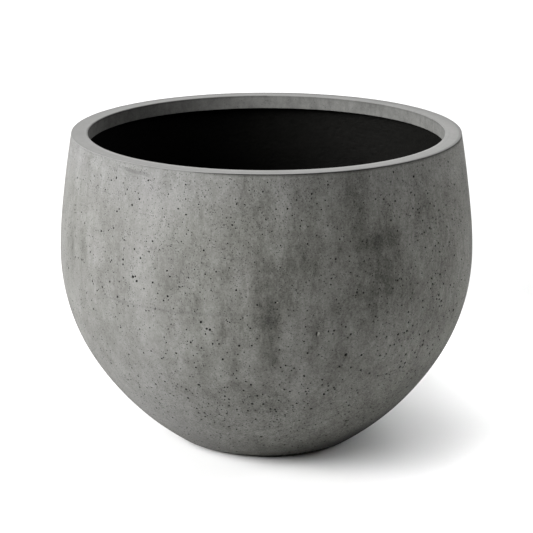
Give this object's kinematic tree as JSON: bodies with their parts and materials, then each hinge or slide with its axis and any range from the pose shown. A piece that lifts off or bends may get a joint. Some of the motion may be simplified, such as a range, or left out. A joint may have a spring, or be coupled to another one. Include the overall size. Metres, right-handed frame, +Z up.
{
  "type": "concrete bowl planter",
  "caption": "Round-bellied concrete floor planter with a flat smooth rim, fine open pores, a black waterproofed hollow and a plugged drain hole.",
  "frame": {"origin": "on the floor, under the centre of the bowl", "axes": "+Z up along the bowl's axis, +X to the right and +Y away from the viewer as pictured"},
  "size_m": [0.5999, 0.6, 0.4545],
  "materials": {
    "smooth_concrete": "matte",
    "pored_concrete": "matte",
    "glass_mesh": "matte",
    "fibre_concrete": "matte",
    "black_coating": "matte",
    "sleeve_plastic": "satin",
    "plug_rubber": "matte",
    "pad_rubber": "matte"
  },
  "bodies": {
    "bowl": {"rim_ring": "smooth_concrete", "face_coat": "pored_concrete", "fibre_mesh": "glass_mesh", "backing_shell": "fibre_concrete", "waterproof_coat": "black_coating", "drain_sleeve": "sleeve_plastic", "foot_pads": "pad_rubber"},
    "plug": {"drain_plug": "plug_rubber"}
  },
  "joints": [
    {"name": "plug_lift", "type": "slide", "parent": "bowl", "child": "plug", "axis": [0, 0, 1], "range_m": [0, 0.46]}
  ]
}
